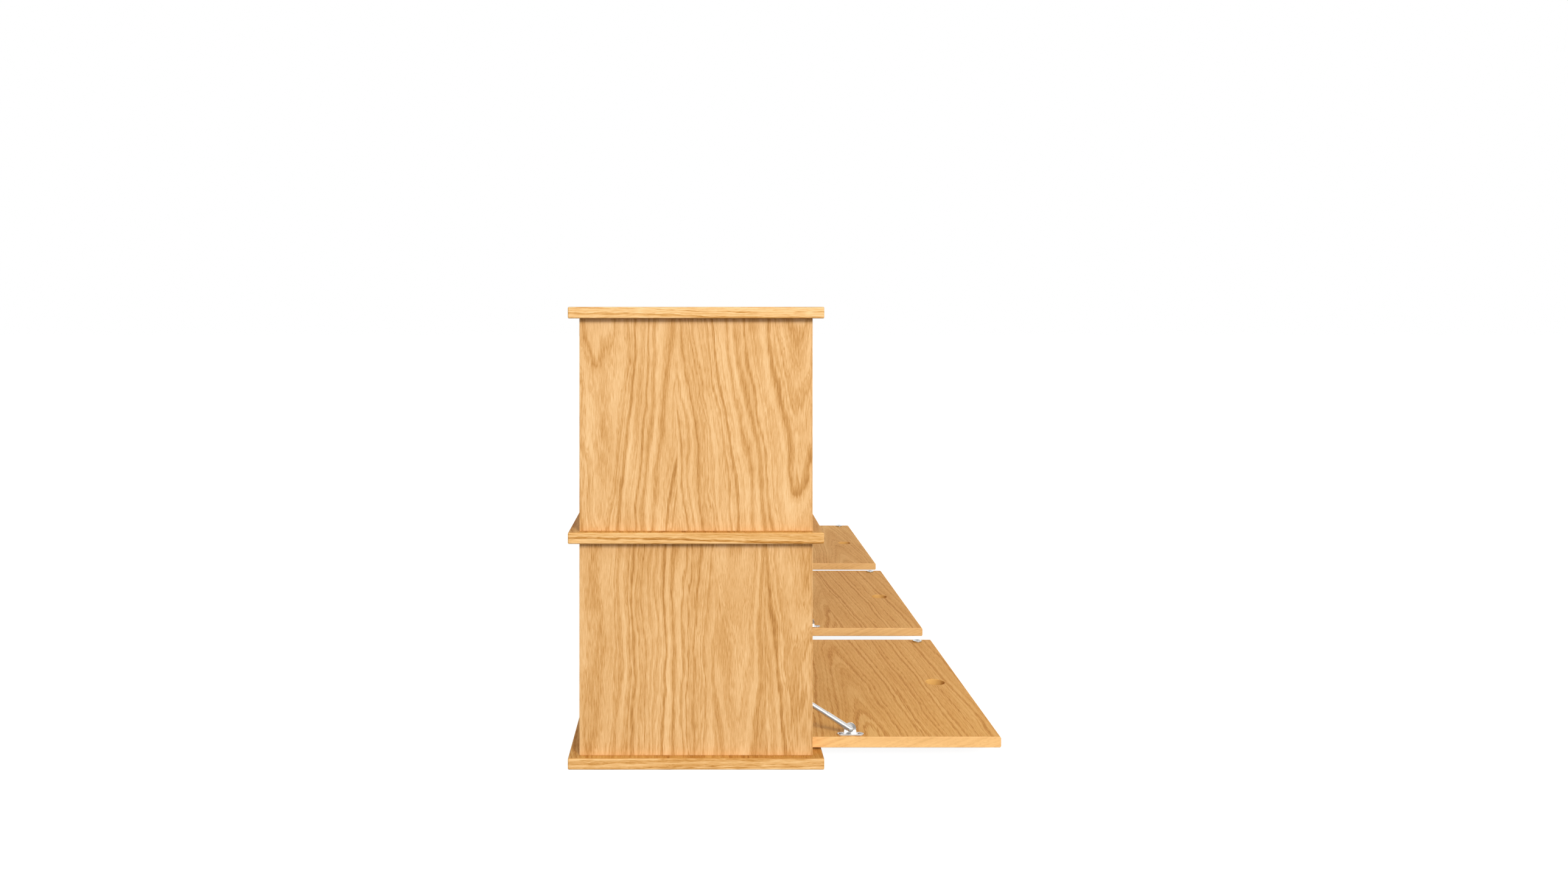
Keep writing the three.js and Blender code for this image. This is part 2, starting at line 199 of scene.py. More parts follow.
def oak(name, tones, ring, sway, ring_depth, streak_depth, shade_depth):
    """Sliced oak under clear satin lacquer. The growth rings of each veneer leaf are cones cut by a plane.

    The veneer map runs across and along the grain from the log's heart, and the log attribute holds how deep
    the heart lies, in millimetres, the cone's taper, and the log's number, whose fraction is the leaf's tone.
    ring is the width of a broad band of growth, and sway is how far the rings wander, both in millimetres.
    The depths say how dark the rings, the pores' streaks and the broad shading are, and tones runs from the
    lightest wood to the darkest.
    """
    material, tree, shader = start_material(name)
    laid = node(tree, "ShaderNodeUVMap", uv_map="veneer")
    laid = node(tree, "ShaderNodeMapping", {"Vector": laid, "Scale": (1 / MM, 1 / MM, 1)})
    across = node(tree, "ShaderNodeSeparateXYZ", {0: laid})
    along = across.node.outputs[1]
    log = node(tree, "ShaderNodeAttribute", output=1, attribute_name="log")
    depth = node(tree, "ShaderNodeSeparateXYZ", {0: log})
    taper, number = depth.node.outputs[1], depth.node.outputs[2]
    slant = node(tree, "ShaderNodeCombineXYZ", {0: across, 1: depth})
    radius = node(tree, "ShaderNodeVectorMath", {0: slant}, output=1, operation="LENGTH")
    rise = node(tree, "ShaderNodeMath", {0: along, 1: taper}, operation="MULTIPLY")
    cone = node(tree, "ShaderNodeMath", {0: radius, 1: rise}, operation="SUBTRACT")

    # The trunk isn't true: rings wander slowly, and their edges are ragged where pores are cut open.
    slow = node(tree, "ShaderNodeVectorMath", {0: laid, 1: WANDER_PER_MM}, operation="MULTIPLY")
    apart = node(tree, "ShaderNodeMath", {0: number, 1: LOG_SPACING}, operation="MULTIPLY")
    spread = node(tree, "ShaderNodeCombineXYZ", {2: apart})
    slow = node(tree, "ShaderNodeVectorMath", {0: slow, 1: spread}, operation="ADD")
    wander = node(
        tree, "ShaderNodeTexNoise", {"Vector": slow, "Scale": 1.0, "Detail": 3.0, "Roughness": 0.48}
    )
    wander = node(tree, "ShaderNodeMath", {0: wander, 1: sway, 2: cone}, operation="MULTIPLY_ADD")
    fine = node(tree, "ShaderNodeVectorMath", {0: laid, 1: RAGGED_PER_MM}, operation="MULTIPLY")
    ragged = node(
        tree, "ShaderNodeTexNoise", {"Vector": fine, "Scale": 1.0, "Detail": 2.0, "Roughness": 0.6}
    )
    field = node(tree, "ShaderNodeMath", {0: ragged, 1: RAGGED_DEPTH, 2: wander}, operation="MULTIPLY_ADD")
    grown = node(tree, "ShaderNodeMath", {0: field, 1: ring}, operation="DIVIDE")
    # Growth is wide at times and narrow at others, and fine lines run beside the strong ones.
    growth = node(
        tree, "ShaderNodeTexNoise", {"W": grown, "Scale": 1.0, "Detail": 3.0, "Roughness": 0.6},
        noise_dimensions="1D",
    )
    rings = node(tree, "ShaderNodeMapRange", {0: growth, 1: 0.36, 2: 0.74}, interpolation_type="SMOOTHSTEP")

    # Pores cut lengthways: dark dashes about 1 mm wide and 8 to 20 mm long, thickest in the spring wood.
    # Real ones are about 0.3 mm wide, and are drawn wider so that they show.
    dashes = node(tree, "ShaderNodeVectorMath", {0: laid, 1: PORES_PER_MM}, operation="MULTIPLY")
    dashes = node(
        tree, "ShaderNodeTexNoise", {"Vector": dashes, "Scale": 1.0, "Detail": 4.0, "Roughness": 0.65}
    )
    pores = node(tree, "ShaderNodeMapRange", {0: dashes, 1: 0.36, 2: 0.64})
    thick = node(tree, "ShaderNodeMapRange", {0: rings, 3: 0.75, 4: 1.25})
    thick = node(tree, "ShaderNodeMath", {0: pores, 1: thick}, operation="MULTIPLY")
    broad = node(tree, "ShaderNodeVectorMath", {0: slow, 1: (2.1, 1.3, 1)}, operation="MULTIPLY")
    broad = node(tree, "ShaderNodeTexNoise", {"Vector": broad, "Scale": 1.0, "Detail": 2.0})
    shade = node(tree, "ShaderNodeMapRange", {0: broad, 1: 0.3, 2: 0.7})

    dark = node(tree, "ShaderNodeMath", {0: rings, 1: ring_depth}, operation="MULTIPLY")
    dark = node(tree, "ShaderNodeMath", {0: thick, 1: streak_depth, 2: dark}, operation="MULTIPLY_ADD")
    dark = node(tree, "ShaderNodeMath", {0: shade, 1: shade_depth, 2: dark}, operation="MULTIPLY_ADD")
    # Each leaf has a tone of its own: the fraction of its log's number.
    leaf = node(tree, "ShaderNodeMath", {0: number}, operation="FRACT")
    leaf = node(tree, "ShaderNodeMapRange", {0: leaf, 3: -0.04, 4: 0.2})
    dark = node(tree, "ShaderNodeMath", {0: dark, 1: leaf}, operation="ADD")
    places = (0.0, 0.25, 0.5, 0.75, 1.0)
    colour = node(
        tree, "ShaderNodeValToRGB", {0: dark}, stops=[(at, tint(code)) for at, code in zip(places, tones)]
    )
    gloss = node(tree, "ShaderNodeMapRange", {0: dark, 3: 0.5, 4: 0.64})
    relief = node(
        tree, "ShaderNodeBump", {"Height": pores, "Strength": 0.35, "Distance": 0.06 * MM}, invert=True
    )
    links = {"Base Color": colour, "Roughness": gloss, "Normal": relief}
    finish_shader(tree, shader, links, IOR=1.5, Metallic=0.0, Specular_IOR_Level=0.12)
    return material


def metal(name, code, roughness, grain, relief):
    """A plated metal, whose grain in millimetres blurs its reflections unevenly. Real grain is finer."""
    material, tree, shader = start_material(name)
    place = node(tree, "ShaderNodeTexCoord", output=3)
    place = node(tree, "ShaderNodeMapping", {"Vector": place})
    speckle = node(
        tree, "ShaderNodeTexNoise", {"Vector": place, "Scale": 1 / (grain * MM), "Detail": 3.0}
    )
    blur = node(tree, "ShaderNodeMapRange", {0: speckle, 3: 0.8 * roughness, 4: 1.25 * roughness})
    bright, dull = tint(code), [0.86 * part for part in tint(code)[:3]] + [1.0]
    colour = node(
        tree, "ShaderNodeValToRGB", {0: speckle}, stops=[(0.3, dull), (0.65, bright)]
    )
    bump = node(tree, "ShaderNodeBump", {"Height": speckle, "Strength": relief, "Distance": 0.05 * MM})
    finish_shader(
        tree, shader, {"Base Color": colour, "Roughness": blur, "Normal": bump}, Metallic=1.0
    )
    return material


def moulded(name, code, roughness, grain):
    """A moulded plastic or rubber with the spark-eroded grain of its mould, and faint 8 mm clouds."""
    material, tree, shader = start_material(name)
    place = node(tree, "ShaderNodeTexCoord", output=3)
    place = node(tree, "ShaderNodeMapping", {"Vector": place})
    pebbles = node(
        tree, "ShaderNodeTexVoronoi", {"Vector": place, "Scale": 1 / (grain * MM)}, feature="SMOOTH_F1"
    )
    cloud = node(tree, "ShaderNodeTexNoise", {"Vector": place, "Scale": 120.0})
    light, dull = tint(code), [0.9 * part for part in tint(code)[:3]] + [1.0]
    colour = node(tree, "ShaderNodeValToRGB", {0: cloud}, stops=[(0.35, dull), (0.6, light)])
    blur = node(tree, "ShaderNodeMapRange", {0: cloud, 3: 0.85 * roughness, 4: 1.1 * roughness})
    bump = node(tree, "ShaderNodeBump", {"Height": pebbles, "Strength": 0.25, "Distance": 0.03 * MM})
    finish_shader(
        tree, shader, {"Base Color": colour, "Roughness": blur, "Normal": bump}, IOR=1.49, Metallic=0.0
    )
    return material


OAK_TONES = ("f8d09a", "edbe84", "dca86a", "ca9353", "b37c40")
EDGE_TONES = ("ffdca6", "f8cb8e", "e3ad68", "c4883f", "9a5f22")
DOOR_EDGE_TONES = ("ffcf8b", "f4be7b", "e3ad68", "c4883f", "9a5f22")
# A darker copy of the face veneer's tones: painted shade on the boards' broad faces.
BOARD_TONES_PAINTED_SHADE = ("dcae66", "cf9d54", "c28b43", "ad732e", "905a20")
# A darker copy of the face veneer's tones: painted shade for the doors' upward faces. The backs and the
# finger holes use it too.
INNER_TONES_PAINTED_SHADE = ("efbd70", "e3ab5c", "d6994a", "be7f35", "9e6425")

# Crown-cut oak veneer under satin lacquer: pale honey wood with ragged, darker flames and fine dark dashes.
face_veneer = oak(
    "oak_crown_cut_veneer", OAK_TONES, ring=8.5, sway=48, ring_depth=0.42, streak_depth=0.36, shade_depth=0.22
)
# The same veneer on doors and backs: a quieter figure, and a deeper tone that is painted shade for the dimmer
# light on the open doors' upward faces.
door_veneer_painted_shade = oak(
    "oak_door_veneer", INNER_TONES_PAINTED_SHADE, ring=6.0, sway=24, ring_depth=0.34, streak_depth=0.28, shade_depth=0.16
)
# The boards' broad faces, a deeper tone again: painted shade for the shadow that falls on the boards' tops
# beside the panels.
board_veneer_painted_shade = oak(
    "oak_board_veneer", BOARD_TONES_PAINTED_SHADE, ring=6.0, sway=26, ring_depth=0.38, streak_depth=0.3, shade_depth=0.16
)
# Oak edge banding on the boards and panels: strong grain along the edge.
banding = oak(
    "oak_edge_banding", EDGE_TONES, ring=3.6, sway=12, ring_depth=0.4, streak_depth=0.26, shade_depth=0.2
)
# Oak banding on the doors' edges: faint slanting strokes.
door_banding = oak(
    "oak_door_banding", DOOR_EDGE_TONES, ring=4.5, sway=8, ring_depth=0.2, streak_depth=0.12, shade_depth=0.24
)
# The wood inside a finger hole, smoothed by the cutter, in the doors' darker tones, which are painted shade.
hole_wood = oak(
    "oak_hole_wall", INNER_TONES_PAINTED_SHADE, ring=60.0, sway=2, ring_depth=0.06, streak_depth=0.04, shade_depth=0.2
)
# Zinc die-casting with satin nickel: pale, with soft reflections.
satin_nickel = metal("satin_nickel_on_zinc", "efeeec", roughness=0.3, grain=1.4, relief=0.03)
# Turned steel with bright nickel: clear reflections.
bright_nickel = metal("bright_nickel_on_steel", "d9dadb", roughness=0.14, grain=0.9, relief=0.05)
# Moulded ABS, off-white.
white_abs = moulded("moulded_white_abs", "ecebe6", roughness=0.42, grain=0.35)
# Nitrile seal, black and dull.
seal_rubber = moulded("black_nitrile_seal", "1d1d1f", roughness=0.6, grain=0.3)


def glue_line_material():
    """The line of glue between a veneer and its lipping: thin, brown and dull, with 6 mm clouds."""
    material, tree, shader = start_material("glue_line")
    place = node(tree, "ShaderNodeUVMap", uv_map="veneer")
    place = node(tree, "ShaderNodeMapping", {"Vector": place})
    spots = node(tree, "ShaderNodeTexNoise", {"Vector": place, "Scale": 160.0, "Detail": 2.0})
    colour = node(
        tree, "ShaderNodeValToRGB", {0: spots}, stops=[(0.3, tint("b98149")), (0.7, tint("d09a5e"))]
    )
    finish_shader(tree, shader, {"Base Color": colour}, Roughness=0.6, IOR=1.5)
    return material


glue_line = glue_line_material()


# ---- Drawing pieces ----


def blank(low, high, radius, steps=3):
    """A squared board between two corners, with its edges eased."""
    drawn = bmesh.new()
    bmesh.ops.create_cube(drawn, size=1)
    low, high = Vector(low), Vector(high)
    bmesh.ops.scale(drawn, vec=high - low, verts=drawn.verts)
    bmesh.ops.translate(drawn, vec=(low + high) / 2, verts=drawn.verts)
    ease(drawn, radius, steps)
    return drawn


def ease(drawn, radius, steps=3, wanted=lambda middle: True):
    """Rounds the sharp edges whose middle is wanted."""
    edges = [
        edge
        for edge in drawn.edges
        if edge.calc_face_angle(0) > 0.8 and wanted((edge.verts[0].co + edge.verts[1].co) / 2)
    ]
    bmesh.ops.bevel(
        drawn, geom=edges, offset=radius, segments=steps, profile=0.5, affect="EDGES", clamp_overlap=False
    )


def score(drawn, axis, places):
    """Cuts lines round a board, square to one axis, without parting it."""
    square = Vector([1.0 if at == axis else 0.0 for at in range(3)])
    for place in places:
        bmesh.ops.bisect_plane(
            drawn, geom=drawn.verts[:] + drawn.edges[:] + drawn.faces[:], plane_co=square * place,
            plane_no=square,
        )


def loft(rings):
    """A closed skin over rings of points, each with as many points as the next."""
    drawn = bmesh.new()
    rows = [[drawn.verts.new(point) for point in ring] for ring in rings]
    for one, other in zip(rows, rows[1:]):
        for at in range(len(one)):
            after = (at + 1) % len(one)
            drawn.faces.new((one[at], one[after], other[after], other[at]))
    drawn.faces.new(reversed(rows[0]))
    drawn.faces.new(rows[-1])
    bmesh.ops.recalc_face_normals(drawn, faces=drawn.faces)
    return drawn


def turned(profile, facets=32):
    """A piece turned about Z. The profile gives radius and height."""
    angles = [2 * math.pi * at / facets for at in range(facets)]
    return loft([[(r * math.cos(a), r * math.sin(a), z) for a in angles] for r, z in profile])


def bore(radius, reach, facets=24):
    """A plain round cutter about Z that reaches as far up as down."""
    return turned(((radius, -reach), (radius, reach)), facets)


def round_ended(length, width, inset, steps=10):
    """A flat outline with round ends along X, drawn in by inset."""
    r, reach = width / 2 - inset, (length - width) / 2
    arc = [math.pi * (at / steps - 0.5) for at in range(steps + 1)]
    right = [(reach + r * math.cos(a), r * math.sin(a)) for a in arc]
    return right + [(-x, -y) for x, y in right]


def dished_plate():
    """A round-ended plate with a raised rim, lying on XY with its length along X."""
    steps = (
        (0.0, 0.0),
        (0.0, PLATE_THICKNESS - 0.7),
        (0.2, PLATE_THICKNESS - 0.2),
        (0.7, PLATE_THICKNESS),
        (1.3, PLATE_THICKNESS),
        (1.7, PLATE_THICKNESS - PLATE_DISH),
        (2.2, PLATE_THICKNESS - PLATE_DISH),
    )
    return loft(
        [[(x, y, z) for x, y in round_ended(PLATE_LENGTH, PLATE_WIDTH, inset)] for inset, z in steps]
    )


def joined(*parts):
    """Several drawings as one, each moved by its matrix first."""
    whole = bmesh.new()
    for drawn, move in parts:
        held = bpy.data.meshes.new("part")
        drawn.to_mesh(held)
        drawn.free()
        held.transform(move)
        whole.from_mesh(held)
        bpy.data.meshes.remove(held)
    return whole


def as_object(name, drawn):
    mesh = bpy.data.meshes.new(name)
    drawn.to_mesh(mesh)
    drawn.free()
    made = bpy.data.objects.new(name, mesh)
    bpy.context.scene.collection.objects.link(made)
    return made


def settle(made):
    """Applies what has been set on an object, and leaves it a plain mesh."""
    bpy.context.view_layer.update()
    seen = made.evaluated_get(bpy.context.evaluated_depsgraph_get())
    mesh = bpy.data.meshes.new_from_object(seen)
    old, made.data = made.data, mesh
    made.modifiers.clear()
    bpy.data.meshes.remove(old)
    mesh.name = made.name


def cut(made, cutters):
    """Takes the cutters' shapes out of a piece."""
    tools = [as_object("cutter", cutter) for cutter in cutters]
    for tool in tools:
        hole = made.modifiers.new("hole", "BOOLEAN")
        hole.operation, hole.solver, hole.object = "DIFFERENCE", "EXACT", tool
    settle(made)
    for tool in tools:
        mesh = tool.data
        bpy.data.objects.remove(tool)
        bpy.data.meshes.remove(mesh)


def smooth(made, limit=50):
    """Shades the eased edges softly while the flat faces stay flat."""
    made.data.shade_smooth()
    made.data.set_sharp_from_angle(angle=math.radians(limit))
    weighted = made.modifiers.new("flat faces", "WEIGHTED_NORMAL")
    weighted.keep_sharp, weighted.weight = True, 100
    settle(made)


# A far edge that takes in the whole of a side.
WHOLE_SIDE = 1e6


def leaves_across(low, high, draw):
    """Leaves of veneer side by side over a face, each as (its far edge, heart, depth, taper, start, log)."""
    leaves, at = [], low
    while at < high - 1:
        far = at + draw.uniform(120, 175)
        if far > high - 40:
            far = high
        heart = (at + far) / 2 + draw.uniform(-130, 130)
        taper = draw.choice((-1, 1)) * draw.uniform(0.04, 0.12)
        leaves.append((far, heart, draw.uniform(25, 60), taper, draw.uniform(1, 9), draw.uniform(0, 90)))
        at = far
    return leaves


def edge_strip(draw, taper=0.02):
    """One strip of banding: its log's heart lies far aside, so the grain runs nearly straight."""
    heart, depth = draw.uniform(40, 90), draw.uniform(20, 60)
    return [(WHOLE_SIDE, heart, depth, taper, draw.uniform(1, 9), draw.uniform(0, 90))]


def lay_veneer(made, choose, leaves, seed, slant=0.02, shown_strips=None):
    """Gives each face its place on its log: across the grain from the heart, and along it, in metres.

    choose(side, sign, middle) gives a face's material number and the axis of its grain. leaves gives a
    side's leaves. Any other side has one strip of banding, drawn by lot unless it is given.
    """
    draw = random.Random(seed)
    strips = {(side, sign): edge_strip(draw, slant) for side in range(3) for sign in (-1, 1)}
    strips.update(shown_strips or {})
    mesh = made.data
    sheet = mesh.uv_layers.new(name="veneer").name
    log = mesh.attributes.new("log", "FLOAT_VECTOR", "CORNER").name
    for face in mesh.polygons:
        side = max(range(3), key=lambda axis: abs(face.normal[axis]))
        sign = 1 if face.normal[side] > 0 else -1
        face.material_index, grain = choose(side, sign, face.center)
        over = 3 - side - grain
        known = leaves.get((side, sign)) if face.material_index == 0 else None
        for far, heart, depth, taper, start, number in known or strips[side, sign]:
            if face.center[over] < far:
                break
        for corner in face.loop_indices:
            point = mesh.vertices[mesh.loops[corner].vertex_index].co
            mesh.uv_layers[sheet].data[corner].uv = ((point[over] - heart) * MM, point[grain] * MM + start)
            mesh.attributes[log].data[corner].vector = (depth, taper, number)


def place(made, move, materials, body, slot, *nodes):
    """Moves a finished drawing to its place, and ties it to its body."""
    for material in materials:
        made.data.materials.append(material)
    made.data.transform(move @ TO_METRES)
    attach(made, body)
    if nodes:
        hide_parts(*nodes)
    return made


def turned_to(axis, degrees=90):
    return Matrix.Rotation(math.radians(degrees), 4, axis)


def corners(name):
    """A CAD node's lowest and highest corners, in millimetres."""
    return [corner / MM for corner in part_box(name)]


# ---- Carcass ----

PANEL_WOOD = (face_veneer, banding, glue_line)
BOARD_WOOD = (board_veneer_painted_shade, banding, glue_line)
DOOR_WOOD = (door_veneer_painted_shade, door_banding, glue_line, hole_wood)
# The leaves that show most, as (far edge, heart, depth, taper, start, log) in millimetres, start in metres.
LEFT_LEAVES = {
    "upper": [(31, -166, 30, 0.12, 2.0, 3.15), (200, 164, 22, 0.07, 4.0, 5.1)],
    "lower": [
        (-116, -176, 32, 0.1, 3.0, 7.3), (-31, -62, 26, 0.08, 5.5, 11.25), (200, 176, 30, 0.03, 1.2, 13.3)
    ],
}
DOOR_LEAVES = {
    "lower_1": [(-205, 60, 40, -0.06, 3.1, 17.3), (10, -120, 20, -0.07, 6.2, 19.2)],
    "lower_2": [(-150, 70, 50, -0.08, 2.3, 23.3), (10, -150, 30, -0.06, 7.1, 29.2)],
    "lower_3": [(-170, -262, 22, -0.07, 4.1, 31.2), (10, -120, 30, -0.06, 8.1, 33.15)],
}
# The logs of the banding on the boards' and the doors' left ends.
BOARD_END_LOGS = {"base_board": 33.6, "middle_board": 36.8, "top_board": 41.2}
DOOR_END_LOG = 43.01
# How steeply the grain of the doors' banding slants.
DOOR_BANDING_SLANT = 0.3


def glue_places(low, high):
    return (low + LIPPING, low + LIPPING + GLUE_LINE, high - LIPPING - GLUE_LINE, high - LIPPING)


def on_glue(value, low, high):
    """Whether a face lies between the two lines that were scored near an edge."""
    depth = min(value - low, high - value)
    return LIPPING < depth < LIPPING + GLUE_LINE


def in_lipping(value, low, high):
    return min(value - low, high - value) < LIPPING


def on_rod(tier, x):
    """The place at x on a tier's pivot rod, turned to run along it."""
    pivot = Vector(JOINTS[f"door_{tier}_1_flap"]["pos_m"]) / MM
    return Matrix.Translation((x, pivot.y, pivot.z)) @ turned_to("Y")


def make_board(name, seed):
    """A board with grain along its length. Its lippings run round all four edges."""
    low, high = corners(name)
    drawn = blank(low, high, BOARD_EDGE_RADIUS, 4)
    score(drawn, 0, glue_places(low.x, high.x))
    score(drawn, 1, glue_places(low.y, high.y))
    leaves = leaves_across(low.y, high.y, random.Random(seed))
    score(drawn, 1, [leaf[0] for leaf in leaves[:-1]])

    def choose(side, sign, middle):
        if side != 2:
            return 1, (1 if side == 0 else 0)
        if in_lipping(middle.x, low.x, high.x):
            return 0, 1
        if in_lipping(middle.y, low.y, high.y):
            return 0, 0
        on_line = on_glue(middle.x, low.x, high.x) or on_glue(middle.y, low.y, high.y)
        return (2, 0) if on_line else (0, 0)

    made = as_object(name + "_finish", drawn)
    end = {(0, -1): [(WHOLE_SIDE, 70, 40, 0.02, 3.0, BOARD_END_LOGS[name])]}
    lay_veneer(made, choose, {(2, -1): leaves, (2, 1): leaves}, seed, shown_strips=end)
    smooth(made)
    place(made, Matrix(), BOARD_WOOD, "carcass", "oak_veneer", name)


def make_end_panel(name, shown, seed):
    """An upright panel with grain up and down, lipped along its front edge."""
    low, high = corners(name)
    drawn = blank(low, high, EASED_EDGE)
    score(drawn, 1, glue_places(low.y, high.y)[:2])
    leaves = shown or leaves_across(low.y, high.y, random.Random(seed))
    score(drawn, 1, [leaf[0] for leaf in leaves[:-1]])

    def choose(side, sign, middle):
        if side == 2:
            return 1, 1
        if side == 1:
            return 1, 2
        return (2, 2) if LIPPING < middle.y - low.y < LIPPING + GLUE_LINE else (0, 2)

    made = as_object(name + "_finish", drawn)
    inner = low.x if name.startswith("end_panel_right") else high.x
    tier = name.rsplit("_", 1)[1]
    cut(made, [joined((bore(ROD_HOLE_RADIUS, ROD_SEAT_DEPTH), on_rod(tier, inner)))])
    lay_veneer(made, choose, {(0, -1): leaves, (0, 1): leaves}, seed)
    smooth(made)
    place(made, Matrix(), PANEL_WOOD, "carcass", "oak_veneer", name)


def make_partition(name, seed):
    """Two cheeks glued to a front stile, open behind, and bored for the rod."""
    low, high = corners(name)
    made = as_object(name + "_finish", blank(low, high, EASED_EDGE))
    inside = blank(
        (low.x + CHEEK_THICKNESS, low.y + STILE_THICKNESS, low.z - 5),
        (high.x - CHEEK_THICKNESS, high.y + 5, high.z + 5), 0.3, 1,
    )
    length = high.x - low.x + 2
    middle = on_rod(name.split("_")[1], (low.x + high.x) / 2)
    cut(made, [inside, joined((bore(ROD_HOLE_RADIUS, length / 2), middle))])
    draw = random.Random(seed)
    cheeks = leaves_across(low.y, high.y, draw)
    leaves = {(0, -1): cheeks, (0, 1): cheeks, (1, -1): leaves_across(low.x, high.x, draw)}
    lay_veneer(made, lambda side, sign, middle: (1, 1) if side == 2 else (0, 2), leaves, seed)
    smooth(made)
    place(made, Matrix(), PANEL_WOOD, "carcass", "oak_veneer", name)


def make_back_panel(name, seed):
    """A thin back, with its grain along the cabinet."""
    low, high = corners(name)
    drawn = blank(low, high, BACK_EDGE_RADIUS, 2)
    leaves = leaves_across(low.z, high.z, random.Random(seed))
    score(drawn, 2, [leaf[0] for leaf in leaves[:-1]])
    made = as_object(name + "_finish", drawn)
    lay_veneer(
        made, lambda side, sign, middle: (0, 0) if side == 1 else (1, 0 if side else 1),
        {(1, -1): leaves, (1, 1): leaves}, seed,
    )
    smooth(made)
    place(made, Matrix(), DOOR_WOOD, "carcass", "oak_inside", name)


# ---- Doors and what is screwed to them ----


def door_frame(label):
    """Where a door's own drawing goes: open as drawn, or turned up and shut."""
    low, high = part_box("door_" + label)
    pivot = Vector(JOINTS[f"door_{label}_flap"]["pos_m"])
    shut = high.z - low.z > high.y - low.y
    return Matrix.Translation((low.x, pivot.y, pivot.z)) @ turned_to("X", -90 if shut else 0)


def door_size(label):
    """A door's width, and its height from heel to tip."""
    low, high = corners("door_" + label)
    return high.x - low.x, max(high.y - low.y, high.z - low.z)


def hole_cutter(radius, rim):
    """A cutter for a round hole with softly rounded rims through the door's thickness."""
    arc = [math.radians(18 * at) for at in range(6)]
    flare = [(radius + rim * (1 - math.cos(a)), DOOR_HALF - rim + rim * math.sin(a)) for a in arc]
    flare.append((radius + rim, DOOR_HALF + 2))
    down = [(r, -z) for r, z in reversed(flare)]
    return turned(down + flare, 48)


def make_door(label, shown, seed):
    """A flap with eased tip and heel, a finger hole, and a bore for the rod near its heel."""
    width, height = door_size(label)
    reach = height - DOOR_HALF
    drawn = bmesh.new()
    bmesh.ops.create_cube(drawn, size=1)
    bmesh.ops.scale(drawn, vec=(width, height, 2 * DOOR_HALF), verts=drawn.verts)
    bmesh.ops.translate(drawn, vec=(width / 2, DOOR_HALF - height / 2, 0), verts=drawn.verts)

    def runs_along(middle):
        return 1 < middle.x < width - 1 and abs(middle.z) > 1

    ease(drawn, DOOR_TIP_RADIUS, 5, lambda middle: runs_along(middle) and middle.y < 0)
    ease(drawn, DOOR_HEEL_RADIUS, 5, lambda middle: runs_along(middle) and middle.y > 0)
    ease(drawn, EASED_EDGE, 3, lambda middle: not 0.01 < middle.x < width - 0.01)
    score(drawn, 0, glue_places(0, width))
    leaves = shown or leaves_across(-reach, DOOR_HALF, random.Random(seed))
    score(drawn, 1, [leaf[0] for leaf in leaves[:-1]])
    made = as_object(f"door_{label}_leaf", drawn)
    hole_place = Matrix.Translation((width / 2, FINGER_HOLE_FROM_TIP - reach, 0))
    hole = joined((hole_cutter(FINGER_HOLE_RADIUS, FINGER_HOLE_RIM), hole_place))
    rod_place = Matrix.Translation((width / 2, 0, 0)) @ turned_to("Y")
    cut(made, [hole, joined((bore(ROD_HOLE_RADIUS, width / 2 + 1), rod_place))])

    def choose(side, sign, middle):
        from_hole = math.hypot(middle.x - width / 2, middle.y + reach - FINGER_HOLE_FROM_TIP)
        if side != 2 and from_hole < FINGER_HOLE_RADIUS + 1:
            return 3, 2
        if side == 0:
            return 1, 1
        if side == 1 or in_lipping(middle.x, 0, width):
            return 1, (0 if side == 1 else 1)
        return (2, 0) if on_glue(middle.x, 0, width) else (0, 0)

    # Each door's banding comes from a metre further along one log.
    end = {(0, -1): [(WHOLE_SIDE, 60, 45, DOOR_BANDING_SLANT, 2.0 + seed % 10, DOOR_END_LOG)]}
    lay_veneer(made, choose, {(2, -1): leaves, (2, 1): leaves}, seed, DOOR_BANDING_SLANT, end)
    smooth(made)
    place(made, door_frame(label), DOOR_WOOD, "door_" + label, "oak_inside", "door_" + label)


def make_strike(label):
    """The steel disc that the magnet holds: a turned disc with a countersink."""
    width, height = door_size(label)
    top, rim, floor = STRIKE_THICKNESS, STRIKE_RADIUS, STRIKE_THICKNESS - STRIKE_SINK
    profile = (
        (rim - 0.4, 0.0), (rim, 0.4), (rim, top - 0.8), (rim - 0.12, top - 0.4), (rim - 0.4, top - 0.12),
        (rim - 0.8, top), (5.4, top), (5.1, top - 0.1), (4.9, top - 0.3), (3.6, floor), (1.0, floor),
    )
    spot = Matrix.Translation((width - STRIKE_FROM_END, STRIKE_FROM_TIP - (height - DOOR_HALF), DOOR_HALF))
    made = as_object(f"strike_disc_{label}_finish", turned(profile, 48))
    smooth(made, 35)
    spot.translation *= MM
    place(made, door_frame(label) @ spot, (bright_nickel,), "door_" + label, "bright_steel",
          "strike_disc_" + label)


def ear_outline(inset):
    """The ear's outline in YZ: a half round top, then straight sides down into the plate."""
    r = EAR_HALF - inset
    centre = EAR_TOP - EAR_HALF
    arc = [math.pi * at / 20 for at in range(21)]
    return [(-PIN_OUT + r * math.cos(a), centre + r * math.sin(a)) for a in arc] + [
        (-PIN_OUT - r, DOOR_HALF + 1.2), (-PIN_OUT + r, DOOR_HALF + 1.2)
    ]


